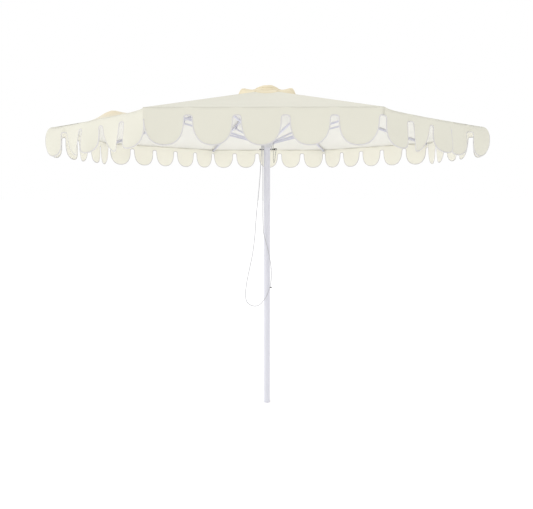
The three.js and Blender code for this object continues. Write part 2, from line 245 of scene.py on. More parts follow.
# ---- materials ----
class Nodes:
    """Short hand for wiring one material's nodes."""

    def __init__(self, name, color, roughness, **plain):
        self.material = bpy.data.materials.new(name)
        self.material.use_nodes = True
        self.material.diffuse_color = (*color, 1)
        self.tree = self.material.node_tree
        self.shader = self.tree.nodes["Principled BSDF"]
        self.shader.inputs["Base Color"].default_value = (*color, 1)
        self.shader.inputs["Roughness"].default_value = roughness
        for socket, value in plain.items():
            self.shader.inputs[socket.replace("_", " ")].default_value = value

    def add(self, kind, values=None, **settings):
        node = self.tree.nodes.new("ShaderNode" + kind)
        for key, value in settings.items():
            setattr(node, key, value)
        for key, value in (values or {}).items():
            self.plug(node.inputs[key], value)
        return node

    def plug(self, socket, value):
        if isinstance(value, bpy.types.NodeSocket):
            self.tree.links.new(value, socket)
        else:
            socket.default_value = value

    def math(self, operation, a, b=0.0):
        return self.add("Math", {0: a, 1: b}, operation=operation).outputs[0]

    def uv(self, layer):
        split = self.add("SeparateXYZ", {0: self.add("UVMap", uv_map=layer).outputs[0]})
        return split.outputs[0], split.outputs[1]

    def place(self):
        return self.add("TexCoord").outputs["Object"]

    def noise(self, scale, detail=2.0, vector=None):
        values = {"Vector": vector or self.place(), "Scale": scale, "Detail": detail}
        return self.add("TexNoise", values).outputs["Fac"]

    def mix(self, share, a, b):
        node = self.add("Mix", data_type="RGBA")
        colors = [s for s in node.inputs if s.type == "RGBA"]
        self.plug(node.inputs[0], share)
        self.plug(colors[0], a)
        self.plug(colors[1], b)
        return next(s for s in node.outputs if s.type == "RGBA")

    def range(self, value, low, high, to_low=0.0, to_high=1.0):
        values = {0: value, 1: low, 2: high, 3: to_low, 4: to_high}
        return self.add("MapRange", values, clamp=True).outputs[0]

    def bump(self, height, strength, distance):
        values = {"Height": height, "Strength": strength, "Distance": distance}
        return self.add("Bump", values).outputs[0]

    def to(self, socket, value):
        self.plug(self.shader.inputs[socket], value)


def shade(color, factor):
    return (*(c * factor for c in color), 1)


WEAVE_PERIOD = 0.0016
STITCH_PITCH = 0.0042
STITCH_HALF = 0.0006  # half the width of the thread
STITCH_SHARE = 0.68  # share of the pitch that shows thread


def weave(n, u, v):
    """Plain weave height, 0 to 1, from two crossed sets of threads."""
    turn = 2 * math.pi / WEAVE_PERIOD
    warp = n.math("SINE", n.math("MULTIPLY", u, turn))
    weft = n.math("SINE", n.math("MULTIPLY", v, turn))
    return n.math("MULTIPLY_ADD", n.math("MULTIPLY", warp, weft), 0.5)


def stitches(n, distance, along, offset, pitch=STITCH_PITCH):
    """Mask of a row of stitches at a distance from an edge."""
    off_line = n.math("ABSOLUTE", n.math("SUBTRACT", distance, offset))
    line = n.math("LESS_THAN", off_line, STITCH_HALF)
    dash = n.math("LESS_THAN", n.math("FRACT", n.math("DIVIDE", along, pitch)), STITCH_SHARE)
    return n.math("MULTIPLY", line, dash)


SEAM_BLUR = 0.0015


def canvas(name, color, rows, seam_width, painted_glow=None):
    """Woven canvas. rows are stitch rows from the sewn edges, held in UV layer 'edges'."""
    n = Nodes(name, color, 0.9, Sheen_Weight=0.12, Sheen_Roughness=0.5, Specular_IOR_Level=0.15)
    u, v = n.uv("cloth")
    side_edge, end_edge = n.uv("edges")
    yarn = weave(n, u, v)
    slub = n.noise(420.0, 3.0)
    cloud = n.noise(3.2, 2.0)
    tone = n.mix(n.range(cloud, 0.3, 0.7), shade(color, 0.985), shade(color, 1.01))
    tone = n.mix(n.range(slub, 0.35, 0.75, 0.0, 0.35), tone, shade(color, 0.955))
    if painted_glow:
        tone = painted_glow(n, u, v, tone)
    height = n.math("MULTIPLY", yarn, 0.35)
    for offset in rows:
        marks = n.math(
            "MAXIMUM", stitches(n, side_edge, v, offset), stitches(n, end_edge, u, offset)
        )
        tone = n.mix(n.math("MULTIPLY", marks, 0.6), tone, shade(color, 0.92))
        height = n.math("SUBTRACT", height, n.math("MULTIPLY", marks, 0.5))
    nearest = n.math("MINIMUM", side_edge, end_edge)
    doubled = n.range(nearest, seam_width + SEAM_BLUR, seam_width - SEAM_BLUR)
    height = n.math("ADD", height, n.math("MULTIPLY", doubled, 0.4))
    tone = n.mix(n.math("MULTIPLY", doubled, 0.5), tone, shade(color, 0.975))
    n.to("Base Color", tone)
    n.to("Roughness", n.range(slub, 0.3, 0.7, 0.84, 0.95))
    n.to("Normal", n.bump(height, 0.45, 0.0006))
    return n.material


TAPE_RIB_PERIOD = 0.0012
TAPE_STITCH_IN = 0.0035
TAPE_STITCH_PITCH = 0.0036


def tape(name, color):
    """Narrow bound edge, ribbed across, with one row of stitches along it."""
    n = Nodes(name, color, 0.8, Sheen_Weight=0.1, Specular_IOR_Level=0.2)
    u, v = n.uv("cloth")
    ribs = n.math("SINE", n.math("MULTIPLY", u, 2 * math.pi / TAPE_RIB_PERIOD))
    marks = stitches(n, v, u, TAPE_STITCH_IN, TAPE_STITCH_PITCH)
    tone = n.mix(n.range(n.noise(60.0), 0.3, 0.7), shade(color, 0.97), shade(color, 1.02))
    n.to("Base Color", n.mix(n.math("MULTIPLY", marks, 0.8), tone, shade(color, 0.8)))
    height = n.math("SUBTRACT", n.math("MULTIPLY", ribs, 0.3), marks)
    n.to("Normal", n.bump(height, 0.5, 0.0004))
    return n.material


SCUFFED_TO_Z = 0.35  # the scuffs fade out upwards


def powder_coat(name, color, scuff=0.25):
    """Painted metal: fine orange peel, faint tone drift and a few scuffs near the ground."""
    n = Nodes(name, color, 0.38, Specular_IOR_Level=0.45, Coat_Weight=0.15, Coat_Roughness=0.3)
    drift = n.range(n.noise(2.5), 0.3, 0.7)
    tone = n.mix(drift, shade(color, 0.975), shade(color, 1.01))
    marks = n.range(n.noise(85.0, 4.0), 0.62, 0.74)
    height = n.add("SeparateXYZ", {0: n.place()}).outputs[2]
    low = n.range(height, SCUFFED_TO_Z, 0.0, 0.12, 1.0)
    worn = n.math("MULTIPLY", n.math("MULTIPLY", marks, low), scuff)
    n.to("Base Color", n.mix(worn, tone, shade(color, 0.72)))
    n.to("Roughness", n.range(n.noise(30.0, 3.0), 0.3, 0.7, 0.32, 0.46))
    n.to("Normal", n.bump(n.noise(950.0, 1.0), 0.12, 0.0004))
    return n.material


def moulded(name, color, roughness=0.5):
    """Moulded plastic with a fine spark-eroded grain."""
    n = Nodes(name, color, roughness, Specular_IOR_Level=0.4)
    grain = n.add("TexVoronoi", {"Vector": n.place(), "Scale": 1300.0}).outputs["Distance"]
    tone = n.mix(n.range(n.noise(18.0, 3.0), 0.3, 0.7), shade(color, 0.96), shade(color, 1.02))
    n.to("Base Color", n.mix(n.range(grain, 0.2, 0.8, 0.0, 0.15), tone, shade(color, 0.92)))
    n.to("Roughness", n.range(n.noise(55.0), 0.3, 0.7, roughness - 0.06, roughness + 0.08))
    n.to("Normal", n.bump(grain, 0.15, 0.0003))
    return n.material


def drawn_metal(name, color, roughness):
    """Drawn wire and turned metal, finely scratched along its length."""
    n = Nodes(name, color, roughness, Metallic=1.0)
    stretched = n.add("Mapping", {"Vector": n.place(), "Scale": (60.0, 60.0, 900.0)}).outputs[0]
    scratch = n.noise(1.0, 4.0, stretched)
    n.to("Base Color", n.mix(n.range(scratch, 0.3, 0.7), shade(color, 0.85), shade(color, 1.05)))
    n.to("Roughness", n.range(scratch, 0.3, 0.7, roughness - 0.08, roughness + 0.14))
    n.to("Normal", n.bump(scratch, 0.1, 0.0002))
    return n.material


BRAID_LAY = 0.009  # length of cord in which a strand goes round once
BRAID_STRANDS = 4.0


def braid(name, color):
    """Braided cord, from UV layer 'cord': turn round it and length along it."""
    n = Nodes(name, color, 0.85, Sheen_Weight=0.1, Specular_IOR_Level=0.2)
    turn, run = n.uv("cord")
    lay = n.math("MULTIPLY", n.math("DIVIDE", run, BRAID_LAY), BRAID_STRANDS)
    waves = []
    for way in ("ADD", "SUBTRACT"):
        phase = n.math(way, n.math("MULTIPLY", turn, BRAID_STRANDS), lay)
        waves.append(n.math("SINE", n.math("MULTIPLY", phase, 2 * math.pi)))
    height = n.math("MAXIMUM", waves[0], waves[1])
    # painted shade: the braid is darker down in its grooves
    tone = n.mix(n.range(height, -0.6, 0.6), shade(color, 0.88), shade(color, 1.0))
    n.to("Base Color", tone)
    n.to("Normal", n.bump(height, 0.5, 0.0006))
    return n.material


CREAM = (0.735, 0.72, 0.625)
# painted light: the inner faces of canopy and valance are brighter creams than the outer, for sun
# shining through the canvas
INNER_GLOW_CREAM = (0.81, 0.80, 0.75)
INNER_VALANCE_GLOW = (0.93, 0.91, 0.81)
# painted sunlight: a yellower cream on the vent cap's canvas, for the sun that lights it
CAP_SUN_GLOW_CREAM = (0.82, 0.73, 0.53)
# painted sunlight: the yellower tone of the sunlit puff
PUFF_SUN_GLOW = (0.80, 0.71, 0.53)
PUFF_U = -0.07  # middle of the puff: sideways from the panel's middle, and down its slant
PUFF_V = 1.25
GLOW_HALF_U = 0.16
GLOW_HALF_V = 0.13
GORE_SEAM = 0.0135
GORE_STITCHES = (0.004, 0.011)


def painted_sun_glow(n, u, v, tone):
    """Painted sunlight: the sunlit puff on the front-left panel is tinted a little more yellow."""
    du = n.math("MULTIPLY", n.math("SUBTRACT", u, PUFF_U), 1 / GLOW_HALF_U)
    dv = n.math("MULTIPLY", n.math("SUBTRACT", v, PUFF_V), 1 / GLOW_HALF_V)
    far = n.math("SQRT", n.math("ADD", n.math("MULTIPLY", du, du), n.math("MULTIPLY", dv, dv)))
    return n.mix(n.range(far, 1.0, 0.3), tone, shade(PUFF_SUN_GLOW, 1.0))


cloth = canvas("canopy_canvas", CREAM, GORE_STITCHES, GORE_SEAM)
# the front-left panel's canvas carries the puff's painted sunlight
sun_glow_cloth = canvas("canopy_canvas_sun_glow", CREAM, GORE_STITCHES, GORE_SEAM, painted_sun_glow)
valance_cloth = canvas("valance_canvas", CREAM, (0.0095,), 0.006)
# the inner faces carry the painted light of sun through the canvas
inner_cloth = canvas("inner_canvas", INNER_GLOW_CREAM, (0.011,), 0.0)
inner_valance = canvas("inner_valance_canvas", INNER_VALANCE_GLOW, (), 0.0)
# the vent cap's canvas carries the painted sunlight
cap_cloth = canvas("cap_canvas", CAP_SUN_GLOW_CREAM, (0.005, 0.012), 0.014)
seam_tape = tape("seam_tape", (0.82, 0.805, 0.74))
edge_tape = tape("edge_tape", (0.715, 0.70, 0.69))
white_coat = powder_coat("white_powder_coat", (0.70, 0.70, 0.765))
# painted shade: the ribs and struts have the pole's white coat, set darker and bluer for the shade
# under the canopy
frame_shaded_coat = powder_coat("frame_powder_coat_shaded", (0.64, 0.64, 0.73), 0.0)
grey_plastic = moulded("grey_plastic", (0.42, 0.43, 0.53), 0.5)
white_plastic = moulded("white_plastic", (0.66, 0.66, 0.68), 0.45)
foot_plastic = moulded("foot_plastic", (0.62, 0.61, 0.68), 0.6)
wire = drawn_metal("galvanised_wire", (0.50, 0.50, 0.52), 0.32)
black_steel = drawn_metal("blackened_steel", (0.012, 0.012, 0.011), 0.4)
chain_metal = drawn_metal("chain_metal", (0.30, 0.30, 0.27), 0.35)
white_cord = braid("braided_cord", (0.54, 0.54, 0.56))

# ---- the free pull cord: one long loop under the runner's flange ----
FLANGE_BASE_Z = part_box("pull_cord")[1].z
PULL_CORD_ROUTE = [
    (-0.040, -0.010, FLANGE_BASE_Z), (-0.041, -0.012, 2.020), (-0.046, -0.016, 1.918),
    (-0.060, -0.020, 1.719), (-0.081, -0.022, 1.517), (-0.094, -0.024, 1.350),
    (-0.112, -0.026, 1.209), (-0.138, -0.028, 1.085), (-0.160, -0.030, 0.971),
    (-0.168, -0.032, 0.884), (-0.153, -0.034, 0.829), (-0.111, -0.035, 0.803),
    (-0.065, -0.035, 0.808), (-0.029, -0.034, 0.842), (0.008, -0.034, 0.905),
    (0.030, -0.032, 0.985), (0.034, -0.031, 1.085), (0.016, -0.035, 1.209),
    (-0.006, -0.035, 1.300), (-0.025, -0.031, 1.372), (-0.031, -0.024, 1.480),
    (-0.031, -0.022, 1.719), (-0.031, -0.020, 1.935), (-0.031, -0.018, 2.022),
    (-0.031, -0.018, FLANGE_BASE_Z),
]
CORD_D = 0.005
CORD_POINTS = 320
CORD_SIDES = 10
cord_path = smooth_curve(PULL_CORD_ROUTE, CORD_POINTS)
cord_verts, cord_faces, cord_uv = tube_parts(cord_path, CORD_D / 2, CORD_SIDES)
pull_cord = mesh_object("pull_cord_line", cord_verts, cord_faces, {"cord": cord_uv})
pull_cord.data.materials.append(white_cord)
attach(pull_cord, "runner")
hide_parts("pull_cord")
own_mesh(pull_cord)


# ---- canopy: eight gores, each one sagging sheet sewn edge to edge ----
def wrinkle(point, scale, seed):
    """Smooth noise, about -1 to 1, with its own pattern for each seed."""
    return noise.noise(Vector(point) * scale + Vector((seed * 7.3, seed * 3.1, 0)))


PUFF_HEIGHT = 0.038
PUFF_RIGHT = 0.06  # how far it spreads to each side, and up and down the slant
PUFF_LEFT = 0.11
PUFF_SLANT = 0.075


def puff(side, slant):
    """Height of the puff of loose cloth on the front-left panel."""
    du = (side - PUFF_U) / (PUFF_RIGHT if side > PUFF_U else PUFF_LEFT)
    dv = (slant - PUFF_V) / PUFF_SLANT
    return PUFF_HEIGHT * math.exp(-du * du - dv * dv)


HEM_SAG = {2: 0.011, 3: 0.005, 7: 0.005, 8: 0.011}
GORE_END = 1 - 0.0018 / APOTHEM  # the hem stops just inside the valance's top
GORE_ROWS = 54
GORE_COLS = 45
GORE_SAG = 0.013
RIPPLE = 0.0026  # broad unevenness of the stretched canvas
RIPPLE_SCALE = 5.5
RIPPLE_FADE = 0.12  # share of the slant over which it dies out at the hem
PUCKER = 0.0007  # small gathers along the seams
PUCKER_PITCH = 0.052
PUCKER_REACH = 0.03


def gore_sag(share, across):
    """How far the canvas dips between two ribs; across runs from -1 to 1."""
    return -GORE_SAG * max(0.0, 1 - across * across) * math.sin(math.pi * share) ** 0.8


def hem_sag(i, s):
    """How far the hem hangs below the straight line between its two rib tips."""
    return -HEM_SAG.get(i, 0.0) * max(0.0, 1 - abs(s / VALANCE_END) ** 12)


def gore_lift(i, share, turn, half):
    """How far the canvas stands off the flat panel, at a place turn across its half width."""
    s = half * turn
    held = 1 - turn * turn
    fade = min(1, (1 - share) / RIPPLE_FADE)
    ripple = RIPPLE * held * fade * wrinkle((s, share * SLANT, 0), RIPPLE_SCALE, i)
    pucker = PUCKER * math.sin(share * SLANT * 2 * math.pi / PUCKER_PITCH + i)
    pucker *= math.exp(-(((half - abs(s)) / PUCKER_REACH) ** 2)) * min(1, held * 12)
    lift = gore_sag(share, turn) + ripple + pucker
    return lift + puff(s, share * SLANT) if i == SIDES else lift


def gore_grid(i):
    """Points and UVs of a panel, rows from the vent hole down to the hem."""
    out, side = facing(i)
    normal = out * math.sin(SLOPE) + UP * math.cos(SLOPE)
    points = np.zeros((GORE_ROWS, GORE_COLS, 3))
    cloth_uv = np.zeros((GORE_ROWS, GORE_COLS, 2))
    edge_uv = np.zeros((GORE_ROWS, GORE_COLS, 2))
    for a in range(GORE_ROWS):
        share = VENT_SHARE + (GORE_END - VENT_SHARE) * a / (GORE_ROWS - 1)
        half = HALF_SIDE * share - SEAM_GAP
        for b in range(GORE_COLS):
            turn = math.sin(math.pi / 2 * (2 * b / (GORE_COLS - 1) - 1))  # closer at the seams
            s = half * turn
            base = out * APOTHEM * share + side * s + UP * (APEX_Z - RISE * share)
            base += UP * hem_sag(i, s) * share**8
            points[a, b] = base + normal * gore_lift(i, share, turn, half)
            cloth_uv[a, b] = (s, share * SLANT)
            edge_uv[a, b] = (half - abs(s), (1 - share) * SLANT)
    return points, cloth_uv, edge_uv


def fold_with(piece):
    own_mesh(piece)


def add_gore(i):
    points, cloth_uv, edge_uv = gore_grid(i)
    layers = {"cloth": cloth_uv, "edges": edge_uv}
    outer = sun_glow_cloth if i == SIDES else cloth
    piece = sheet_object(f"canopy_panel_{i}", points, CLOTH_T, layers, outer, inner_cloth)
    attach(piece, f"gore_{i}")
    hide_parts(f"gore_{i}")
    fold_with(piece)


# ---- valance: one scalloped strip per panel, bound along its lower edge ----
def bezier(p0, p1, p2, p3, t):
    """Point at share t of a cubic curve."""
    q = 1 - t
    return tuple(
        q**3 * a + 3 * q * q * t * b + 3 * q * t * t * c + t**3 * d
        for a, b, c, d in zip(p0, p1, p2, p3)
    )


SCALLOP_STEPS = np.linspace(0, 1, 17)
ARCH_STEPS = np.linspace(0, 1, 5)


def scallop_columns():
    """(along, depth) of the lower edge from one end of a valance to the other."""
    side_top = -BAND - NOTCH_ARCH
    half = SCALLOP_W / 2
    gap = PITCH - SCALLOP_W
    edge = []
    for k in range(SCALLOPS):
        middle = -VALANCE_END + half + k * PITCH
        left, right = middle - half, middle + half
        pull = ROUND_PULL
        down = ((left, side_top), (left, SIDE_PULL), (middle - pull, -DROP), (middle, -DROP))
        rise = ((middle, -DROP), (middle + pull, -DROP), (right, SIDE_PULL), (right, side_top))
        edge += [bezier(*down, t) for t in SCALLOP_STEPS[:-1]]
        edge += [bezier(*rise, t) for t in SCALLOP_STEPS]
        if k < SCALLOPS - 1:
            mid, far = right + gap / 2, right + gap
            arch_up = ((right, side_top), (right, -BAND), (right + 0.2 * gap, -BAND), (mid, -BAND))
            arch_down = ((mid, -BAND), (right + 0.8 * gap, -BAND), (far, -BAND), (far, side_top))
            edge += [bezier(*arch_up, t) for t in ARCH_STEPS[1:]]
            edge += [bezier(*arch_down, t) for t in ARCH_STEPS[1:-1]]
    return edge


LOWER_EDGE = scallop_columns()
# The scallops are sewn on with a small shift and stop a little short of the corners:
# (shift, scale) along the hem of a panel, and the scale of the others.
SET = {1: (-0.0135, 0.994), 2: (0.012, 0.972), 8: (-0.004, 0.985)}
SET_SCALE = 0.982
END_HEM = 0.006  # shorter ends than this get no straight hem
END_TURN = ((0.001, -BAND - END_HEM), (0.004, -BAND))  # the corner where the hem starts


def lower_edge(i):
    """The lower edge of one valance, with a short straight hem from each end to its scallops."""
    shift, scale = SET.get(i, (0.0, SET_SCALE))
    moved = [(s * scale + shift, z) for s, z in LOWER_EDGE]
    first, last = moved[0][0], moved[-1][0]
    if last < VALANCE_END - END_HEM:
        moved += [(last + s, z) for s, z in END_TURN] + [(VALANCE_END, -BAND)]
    if first > END_HEM - VALANCE_END:
        corner = [(first - s, z) for s, z in reversed(END_TURN)]
        moved = [(-VALANCE_END, -BAND)] + corner + moved
    return moved


# Each scallop's lean outwards, curl, twist and bow, in metres. Panels not listed hang quietly.
QUIET = [
    (0.004, 0.008, -0.006, 0.003), (0.003, -0.006, 0.006, 0.002), (0.005, 0.009, -0.006, 0.003),
    (0.003, -0.007, 0.006, 0.002), (0.005, 0.008, 0.006, 0.004),
]
HANG = {
    1: [
        (0.003, -0.004, 0.004, 0.0), (0.002, 0.005, -0.003, 0.0), (0.003, -0.003, 0.002, 0.0),
        (0.002, 0.004, 0.003, 0.0), (0.003, -0.004, -0.004, 0.0),
    ],
    2: [
        (0.010, 0.044, 0.030, -0.004), (0.004, -0.040, -0.044, 0.006), (0.020, 0.046, 0.050, 0.004),
        (0.012, -0.030, 0.052, -0.004), (0.018, 0.030, 0.026, 0.032),
    ],
    3: [
        (0.016, 0.020, -0.020, 0.030), (0.006, -0.018, 0.020, 0.006), (0.010, 0.020, -0.016, 0.006),
        (0.004, -0.014, 0.014, 0.0), (0.008, 0.014, 0.010, 0.004),
    ],
    7: [
        (0.008, 0.014, -0.010, 0.004), (0.004, -0.014, 0.014, 0.0), (0.010, 0.020, -0.016, 0.006),
        (0.006, -0.018, 0.020, 0.006), (0.016, 0.020, 0.020, 0.024),
    ],
    8: [
        (0.018, 0.034, -0.030, 0.026), (0.012, -0.036, 0.056, 0.004), (0.016, 0.050, -0.050, 0.004),
        (0.006, -0.044, 0.052, 0.0), (0.012, 0.046, -0.034, -0.004),
    ],
}


def scallop_out(settings, across, deep):
    """How far outwards a scallop stands; across runs from -0.5 to 0.5 and deep from 0 to 1."""
    lean, curl, twist, bow = settings
    fold = curl * (0.25 - across * across) * 2 + twist * across
    bulge = math.sin(math.pi * deep**0.7) ** 0.7 if 0 < deep < 1 else 0.0
    return deep**1.5 * (lean + fold) + bow * bulge * (1 + across * twist * 20)


def valance_out(i, s, z):
    """How far outwards the hanging cloth stands at (s, z)."""
    deep = min(1.0, max(0.0, -z / DROP))
    hang = HANG.get(i, QUIET)
    s = (s - SET[i][0]) / SET[i][1] if i in SET else s / SET_SCALE
    at = max(0.0, (s + VALANCE_END) / PITCH)
    k = min(int(at), SCALLOPS - 1)
    middle = -VALANCE_END + SCALLOP_W / 2 + k * PITCH
    across = (s - middle) / SCALLOP_W
    if across <= 0.5 or k == SCALLOPS - 1:
        return scallop_out(hang[k], min(across, 0.5), deep)
    share = (s - middle - SCALLOP_W / 2) / (PITCH - SCALLOP_W)
    share = share * share * (3 - 2 * share)
    before = scallop_out(hang[k], 0.5, deep)
    return before * (1 - share) + scallop_out(hang[k + 1], -0.5, deep) * share


VALANCE_RIPPLE = 0.0012
VALANCE_RIPPLE_SCALE = 14.0


def valance_point(i, s, z, lift=0.0):
    """Where the cloth at (s, z) of the flat valance hangs."""
    out, side = facing(i)
    face = APOTHEM - CLOTH_T / 2 + valance_out(i, s, z) + lift
    face += VALANCE_RIPPLE * wrinkle((s, z, 0), VALANCE_RIPPLE_SCALE, i + 11)
    return out * face + side * s + UP * (VALANCE_TOP_Z + z + hem_sag(i, s))


VALANCE_ROWS = 15
VALANCE_LAP = 0.0022  # the valance's top covers the edge of the hem


def add_valance(i):
    lower = lower_edge(i)
    cols = len(lower)
    points = np.zeros((VALANCE_ROWS, cols, 3))
    cloth_uv = np.zeros((VALANCE_ROWS, cols, 2))
    edge_uv = np.zeros((VALANCE_ROWS, cols, 2))
    for b, (s, bottom) in enumerate(lower):
        for a in range(VALANCE_ROWS):
            z = VALANCE_LAP + (bottom - VALANCE_LAP) * a / (VALANCE_ROWS - 1)
            points[a, b] = valance_point(i, s, z)
            cloth_uv[a, b] = (s, z)
            edge_uv[a, b] = (VALANCE_END - abs(s), -z)
    layers = {"cloth": cloth_uv, "edges": edge_uv}
    name = f"valance_panel_{i}"
    piece = sheet_object(name, points, CLOTH_T, layers, valance_cloth, inner_valance)
    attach(piece, f"valance_{i}")
    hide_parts(f"valance_{i}")
    fold_with(piece)
    binding = add_binding(i)


BINDING_W = 0.0062
BINDING_T = 0.0026
BINDING_OVER = 0.0006  # it stands over the cut edge
BINDING_SECTION = [(0, -0.5), (0, 0.5), (0.5, 0.62), (1, 0.5), (1, -0.5), (0.5, -0.62)]


def add_binding(i):
    """Folded tape over the scalloped edge, a flat closed strip that follows it."""
    lower = lower_edge(i)
    edge = np.array(lower)
    tangent = tangents(edge)
    inward = np.stack([-tangent[:, 1], tangent[:, 0]], -1)
    verts, uv = [], []
    for p, n, length in zip(edge, inward, run_along(edge)):
        for w, t in BINDING_SECTION:
            s, z = p + n * (w * BINDING_W - BINDING_OVER)
            s = min(max(s, lower[0][0]), lower[-1][0])
            verts.append(valance_point(i, s, min(z, 0.0), t * BINDING_T))
            uv.append((length, w * BINDING_W))
    faces = ring_faces(len(edge), len(BINDING_SECTION))
    piece = mesh_object(f"valance_binding_{i}", verts, faces, {"cloth": uv})
    piece.data.materials.append(edge_tape)
    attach(piece, f"valance_{i}")
    fold_with(piece)
    return piece


# ---- seam tapes over the ribs, under the canvas ----
TAPE_HALF = 0.018
TAPE_DROP = 0.0024
TAPE_T = 0.0007
TAPE_FROM = 0.085  # shares of the rib
TAPE_TO = 0.985
TAPE_ROWS = 60


def add_seam_tape(i):
    out, side = facing(i + 0.5)
    fall = RISE / APOTHEM * math.sin(STEP / 2)
    corner = APOTHEM / math.cos(STEP / 2)
    shares = np.linspace(TAPE_FROM, TAPE_TO, TAPE_ROWS)
    offsets = np.array([-1, -0.5, 0, 0.5, 1]) * TAPE_HALF
    points = np.zeros((len(shares), len(offsets), 3))
    cloth_uv = np.zeros((len(shares), len(offsets), 2))
    for a, share in enumerate(shares):
        for b, s in enumerate(offsets):
            z = APEX_Z - RISE * share - abs(s) * fall - TAPE_DROP
            points[a, b] = out * corner * share + side * s + UP * z
            cloth_uv[a, b] = (share * corner, TAPE_HALF - abs(s))
    piece = sheet_object(f"seam_tape_{i}", points, TAPE_T, {"cloth": cloth_uv}, seam_tape)
    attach(piece, f"rib_{i}")


for panel in range(1, SIDES + 1):
    add_gore(panel)
    add_valance(panel)
    add_seam_tape(panel)


# ---- vent cap: a crown on the hub, eight shoulders and eight ruffled skirts ----
CAP_TOP_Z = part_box("vent_cap")[1].z
CAP_PROFILE_R = [0.0, 0.041, 0.084, 0.100, 0.135, 0.170, 0.206, 0.226]
CAP_PROFILE_Z = [0.0, -0.0045, -0.022, -0.029, -0.031, -0.028, -0.035, -0.060]
BRIM_FROM, BRIM_RUN = 0.11, 0.07  # the ruffles grow outwards over this run
FLAT_FROM, FLAT_RUN = 0.074, 0.028  # at the front the cap lies down on the canopy
EDGE_FROM, EDGE_RUN = 0.188, 0.036  # the brim turns down to the canopy
RUFFLES = ((0.005, 3, 0.6), (0.003, 7, 2.0))  # height, waves all round, phase
RIGHT_LIFT, LEFT_LIFT = 0.010, 0.016
SIDE_SPREAD = 0.5
FRONT_SPREAD = 1.05
FRONT_GAP = 0.013
EDGE_GAP_FRONT, EDGE_GAP_MORE = 0.0022, 0.006
CROWN_R = 0.084
CROWN_RINGS, CROWN_SPOKES = 14, 48
CROWN_T = 0.002
CROWN_OVER = 0.0006
CROWN_HUMP = 0.2


def wrapped(turn):
    """The same direction, from -pi to pi."""
    return (turn + math.pi) % (2 * math.pi) - math.pi


def canvas_height(r, turn):
    """Height of the canopy's canvas at a radius and direction near the vent."""
    from_middle = (turn + math.pi / 2 + STEP / 2) % STEP - STEP / 2
    share = r * math.cos(from_middle) / APOTHEM
    across = math.tan(from_middle) / math.tan(STEP / 2)
    return APEX_Z - RISE * share + gore_sag(share, across)


def cap_height(r, turn):
    """Outer face of the cap at a radius and direction: a low crown, a step and a ruffled brim."""
    z = CAP_TOP_Z + float(np.interp(r, CAP_PROFILE_R, CAP_PROFILE_Z))
    ruffle = sum(high * math.sin(waves * turn + phase) for high, waves, phase in RUFFLES)
    right = math.exp(-((turn / SIDE_SPREAD) ** 2))
    left = math.exp(-(((abs(turn) - math.pi) / SIDE_SPREAD) ** 2))
    z += ramp(r, BRIM_FROM, BRIM_RUN) * (ruffle + RIGHT_LIFT * right + LEFT_LIFT * left)
    canvas_z = canvas_height(r, turn)
    front = math.exp(-(((turn + math.pi / 2) / FRONT_SPREAD) ** 4))
    flat = front * ramp(r, FLAT_FROM, FLAT_RUN)
    z = z * (1 - flat) + (canvas_z + FRONT_GAP) * flat
    gap = EDGE_GAP_MORE * (1 - front) + EDGE_GAP_FRONT
    edge = ramp(r, EDGE_FROM, EDGE_RUN) ** 1.6
    return z * (1 - edge) + (canvas_z + gap) * edge


def crown_points():
    """Rings of points on the crown's outer face, from the innermost ring out."""
    points = []
    for a in range(1, CROWN_RINGS + 1):
        r = CROWN_R * a / CROWN_RINGS
        for b in range(CROWN_SPOKES):
            turn = 2 * math.pi * b / CROWN_SPOKES
            z = cap_height(r, wrapped(turn)) + CROWN_OVER
            z += CROWN_HUMP * r * max(0.0, math.cos(turn)) * (1 - r / CROWN_R)
            points.append((r * math.cos(turn), r * math.sin(turn), z))
    return points


def add_crown():
    points = crown_points() + [(0.0, 0.0, CAP_TOP_Z + CROWN_OVER)]
    top = len(points) - 1
    under = len(points)
    verts = points + [(x, y, z - CROWN_T) for x, y, z in points]
    faces = []
    for b in range(CROWN_SPOKES):
        c = (b + 1) % CROWN_SPOKES
        faces += [(top, b, c), (under + top, under + c, under + b)]
        for a in range(CROWN_RINGS - 1):
            lo, hi = a * CROWN_SPOKES, (a + 1) * CROWN_SPOKES
            quad = (lo + b, hi + b, hi + c, lo + c)
            faces += [quad, tuple(under + k for k in reversed(quad))]
        last = (CROWN_RINGS - 1) * CROWN_SPOKES
        faces.append((last + b, under + last + b, under + last + c, last + c))
    uv = [(x, y) for x, y, _ in verts]
    edges = [(CROWN_R - math.hypot(*p), CROWN_R - math.hypot(*p)) for p in uv]
    piece = mesh_object("vent_cap_crown", verts, faces, {"cloth": uv, "edges": edges})
    piece.data.materials.append(cap_cloth)
    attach(piece, "root")
    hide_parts("vent_cap")


SHOULDER_IN, SHOULDER_OUT = 0.037, 0.108
SHOULDER_DROP = 0.0026
SHOULDER_ROWS = 14
SKIRT_IN, SKIRT_OUT = 0.102, 0.224
SKIRT_DROP = 0.0042
SKIRT_ROWS = 18
SKIRT_T = 0.0012
SECTOR_COLS = 17
SECTOR_CUT = 0.004  # angle left open between neighbours
SECTOR_CURVE = 0.35


def cap_sector(name, i, inner, outer, drop, rows):
    """One eighth of a ring of the cap, a little under its outer face."""
    cols = SECTOR_COLS
    middle = -math.pi / 2 + (i - 1) * STEP
    points = np.zeros((rows, cols, 3))
    cloth_uv = np.zeros((rows, cols, 2))
    edge_uv = np.zeros((rows, cols, 2))
    for a in range(rows):
        radius = inner + (outer - inner) * a / (rows - 1)
        for b in range(cols):
            turn = (b / (cols - 1) - 0.5) * (STEP - SECTOR_CUT)
            r = radius * (1 - SECTOR_CURVE * (1 - math.cos(turn)))
            z = cap_height(r, wrapped(middle + turn)) - drop
            points[a, b] = (r * math.cos(middle + turn), r * math.sin(middle + turn), z)
            cloth_uv[a, b] = (r * turn, r)
            edge_uv[a, b] = (r * (STEP / 2 - abs(turn)), outer - radius)
    layers = {"cloth": cloth_uv, "edges": edge_uv}
    piece = sheet_object(f"{name}_{i}", points, SKIRT_T, layers, cap_cloth)
    return piece


